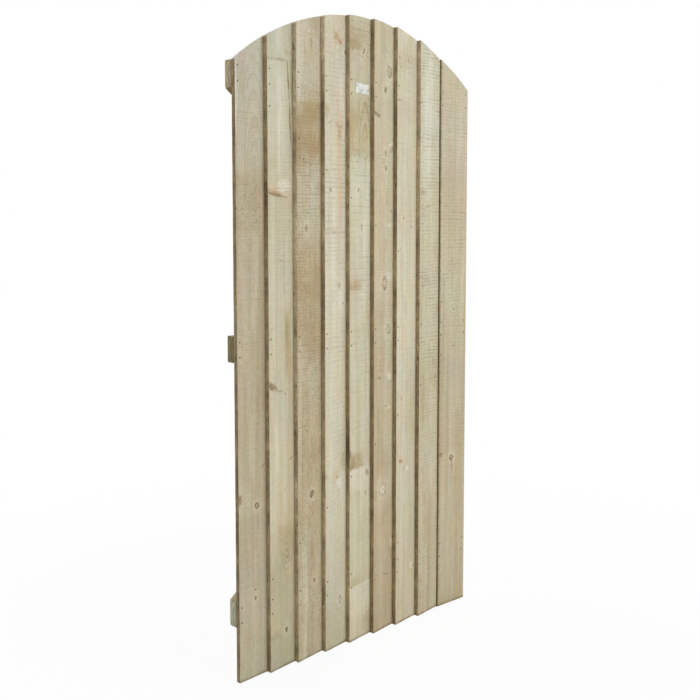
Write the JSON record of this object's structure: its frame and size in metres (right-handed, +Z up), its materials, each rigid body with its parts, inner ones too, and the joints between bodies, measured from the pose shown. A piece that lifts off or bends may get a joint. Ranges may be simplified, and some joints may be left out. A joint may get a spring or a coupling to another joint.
{
  "type": "arched featheredge gate",
  "caption": "Arched garden gate leaf of lapped featheredge boards, nailed to flat rails and two slanting braces on its back.",
  "frame": {"origin": "centre of the leaf's foot: middle of its width and of its depth, at the boards' lower ends", "axes": "+Z up, +X to the right as seen from the boarded front, +Y from the boards towards the rails at the back"},
  "size_m": [0.9, 0.0534, 1.8],
  "materials": {
    "boards": "rough sawn, pressure treated",
    "framing": "rough sawn, pressure treated",
    "nails": "dull galvanised"
  },
  "bodies": {
    "root": {"board_1": "boards", "board_2": "boards", "board_3": "boards", "board_4": "boards", "board_5": "boards", "board_6": "boards", "board_7": "boards", "board_8": "boards", "board_9": "boards", "top_rail": "framing", "middle_rail": "framing", "bottom_rail": "framing", "upper_brace": "framing", "lower_brace": "framing", "top_rail_nails": "nails", "middle_rail_nails": "nails", "bottom_rail_nails": "nails", "upper_brace_nails": "nails", "lower_brace_nails": "nails"}
  },
  "joints": []
}
